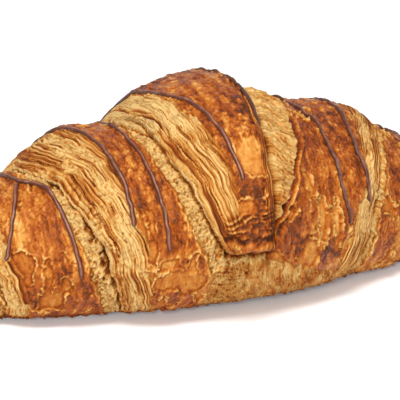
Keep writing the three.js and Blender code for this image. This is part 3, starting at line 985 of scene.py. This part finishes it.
def crust_material():
    material, shader = new_material("croissant_crust")
    g = Graph(material)
    place = g.position()
    flow = g.attribute("flow", "Vector")
    wall = g.attribute("wall")
    gloss = g.attribute("gloss")
    pale = g.attribute("pale")
    speckle = g.noise(place, 1100.0, 4.0, 0.62)
    blotch = g.noise(place, 330.0, 4.0, 0.65)
    streak = g.noise(flow, 2.6, 5.0, 0.7)

    strand = g.noise(flow, 0.9, 3.0, 0.6)
    thin = g.range(g.math("ABSOLUTE", g.math("SUBTRACT", strand, 0.5)), 0.0, 0.035, 1.0, 0.0)

    mottling = g.math("ADD", g.around(speckle, 0.5, 0.28), g.around(blotch, 0.5, 0.28))
    mottling = g.math("MULTIPLY", mottling, g.range(gloss, 0, 1, 0.4, 0.8))
    layered = g.math("ADD", g.around(streak, 0.5, 0.60), g.math("MULTIPLY", thin, 0.24))
    fibrous = g.math("ADD", g.around(streak, 0.5, 0.70), g.math("MULTIPLY", thin, 0.22))
    fibrous = g.math("ADD", fibrous, g.around(speckle, 0.5, 0.4))
    brushed = g.around(streak, 0.5, 0.22)
    grain = g.math("MULTIPLY", layered, wall)
    grain = g.math("ADD", grain, g.math("MULTIPLY", fibrous, pale))
    grain = g.math("ADD", grain, g.math("MULTIPLY", brushed, gloss))
    bake = g.math("ADD", g.attribute("bake"), mottling)
    bake = g.math("ADD", bake, grain, clamp=True)
    g.link(g.ramp(bake, BAKE_COLOURS), shader.inputs["Base Color"])

    rough = g.math("ADD", g.range(gloss, 0, 1, 0.75, 0.17), g.around(blotch, 0.5, 0.25), clamp=True)
    g.link(rough, shader.inputs["Roughness"])
    shader.inputs["Specular IOR Level"].default_value = 0.28
    shader.inputs["Specular Tint"].default_value = (1.0, 0.74, 0.46, 1)
    dimple = g.noise(place, 850.0, 1.0, 0.5)
    height = g.math("ADD", g.math("MULTIPLY", speckle, 0.8), g.math("MULTIPLY", blotch, 1.4))
    height = g.math("MULTIPLY", height, g.range(gloss, 0, 1, 1.0, 0.22))
    height = g.math("ADD", height, g.math("MULTIPLY", dimple, g.math("MULTIPLY", gloss, 0.7)))
    height = g.math("SUBTRACT", height, g.math("MULTIPLY", grain, 1.6))
    g.link(g.bump(height, 0.9, 0.0008), shader.inputs["Normal"])
    return material


def chocolate_material():
    material, shader = new_material("drizzle_chocolate")
    g = Graph(material)
    place = g.position()
    tone = g.noise(place, 450.0, 4.0, 0.6)
    ribs = g.noise(place, 1400.0, 3.0, 0.6)
    # The strand's top is painted lighter as a highlight and its sides darker as shade.
    highlight = g.math("MULTIPLY", g.attribute("crown"), 0.55)
    shade = g.math("ADD", highlight, g.around(tone, 0.4, 1.0), clamp=True)
    colours = [(0.0, (0.060, 0.017, 0.009)), (0.35, (0.125, 0.036, 0.017)), (0.9, (0.38, 0.155, 0.092))]
    g.link(g.ramp(shade, colours), shader.inputs["Base Color"])
    g.link(g.range(tone, 0.2, 0.8, 0.26, 0.44), shader.inputs["Roughness"])
    shader.inputs["Specular IOR Level"].default_value = 0.32
    g.link(g.bump(ribs, 0.4, 0.0003), shader.inputs["Normal"])
    return material


def floor_material():
    material, shader = new_material("studio_floor")
    g = Graph(material)
    grain = g.noise(g.position(), 40.0, 3.0, 0.5)
    colours = [(0.3, (0.90, 0.90, 0.90)), (0.7, (0.92, 0.92, 0.92))]
    g.link(g.ramp(grain, colours), shader.inputs["Base Color"])
    shader.inputs["Roughness"].default_value = 0.7
    shader.inputs["Specular IOR Level"].default_value = 0.2
    shader.inputs["Emission Color"].default_value = (1, 1, 1, 1)
    shader.inputs["Emission Strength"].default_value = 0.15
    return material


# ---------------------------------------------------------------- stage

VIEW_AZIMUTH = -22.0
VIEW_ELEVATION = 19.0
VIEW_DISTANCE = 650.0
VIEW_TARGET = (0.0, 0.0, 28.0)
VIEW_ASIDE = 3.0
VIEW_DOWN = 2.55
MM_ACROSS_VIEW = 106.67

# Metres. The floor lies just below the base, so that the two faces don't flicker.
FLOOR_SIZE = 12.0
FLOOR_GAP = 0.0002

# Each light's place and size in metres, and its power in watts. Both aim at LIGHT_AIM.
LIGHT_AIM = (0, 0, 0.03)
LIGHTS = {
    "top_light": ((-0.15, -0.35, 0.75), 0.32, 6.6),
    "front_light": ((-0.40, -0.75, 0.40), 0.14, 3.4),
}
WORLD_BRIGHTNESS = 0.56


def view_axes():
    azimuth, elevation = math.radians(VIEW_AZIMUTH), math.radians(VIEW_ELEVATION)
    back = Vector((
        math.sin(azimuth) * math.cos(elevation),
        -math.cos(azimuth) * math.cos(elevation),
        math.sin(elevation),
    ))
    right = Vector((math.cos(azimuth), math.sin(azimuth), 0))
    return back, right, back.cross(right)


def make_camera(shift):
    back, right, up = view_axes()
    target = Vector(VIEW_TARGET) + Vector(shift) + right * VIEW_ASIDE - up * VIEW_DOWN
    data = bpy.data.cameras.new("photo_view")
    data.sensor_width = 36.0
    data.lens = data.sensor_width * VIEW_DISTANCE / MM_ACROSS_VIEW
    data.clip_start = 0.01
    data.clip_end = 20.0
    camera = bpy.data.objects.new("photo_view", data)
    rotation = Matrix((right, up, back)).transposed()
    camera.matrix_world = Matrix.Translation((target + back * VIEW_DISTANCE) * MM) @ rotation.to_4x4()
    bpy.context.scene.collection.objects.link(camera)
    bpy.context.scene.camera = camera


def make_floor():
    mesh = bpy.data.meshes.new("studio_floor")
    half = FLOOR_SIZE / 2
    corners = [(-half, -half, 0), (half, -half, 0), (half, half, 0), (-half, half, 0)]
    mesh.from_pydata(corners, [], [(0, 1, 2, 3)])
    floor = bpy.data.objects.new("studio_floor", mesh)
    floor.location.z = -FLOOR_GAP
    mesh.materials.append(floor_material())
    bpy.context.scene.collection.objects.link(floor)


def add_area_light(name, place, size, power):
    data = bpy.data.lights.new(name, "AREA")
    data.shape = "DISK"
    data.size = size
    data.energy = power
    light = bpy.data.objects.new(name, data)
    light.location = place
    direction = Vector(place) - Vector(LIGHT_AIM)
    light.rotation_mode = "QUATERNION"
    light.rotation_quaternion = direction.to_track_quat("Z", "Y")
    bpy.context.scene.collection.objects.link(light)


def make_lights():
    world = bpy.data.worlds.new("studio")
    bpy.context.scene.world = world
    world.use_nodes = True
    background = world.node_tree.nodes["Background"]
    background.inputs["Color"].default_value = (1.0, 1.0, 1.0, 1)
    background.inputs["Strength"].default_value = WORLD_BRIGHTNESS
    for name, (place, size, power) in LIGHTS.items():
        add_area_light(name, place, size, power)
    bpy.context.scene.view_settings.view_transform = "Standard"


# ---------------------------------------------------------------- assembly

def main():
    dough = Dough()
    make_camera(dough.shift)
    make_floor()
    make_lights()

    crust = crust_material()
    body = dough.make()
    body.data.materials.append(crust)
    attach(body, "root")
    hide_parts("dough")

    chocolate = chocolate_material()
    for seed, (name, route) in enumerate(DRIZZLES.items()):
        strand = make_strand(dough, name + "_strand", route, seed * 3.7)
        strand.data.materials.append(chocolate)
        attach(strand, "root")
        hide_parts(name)


main()
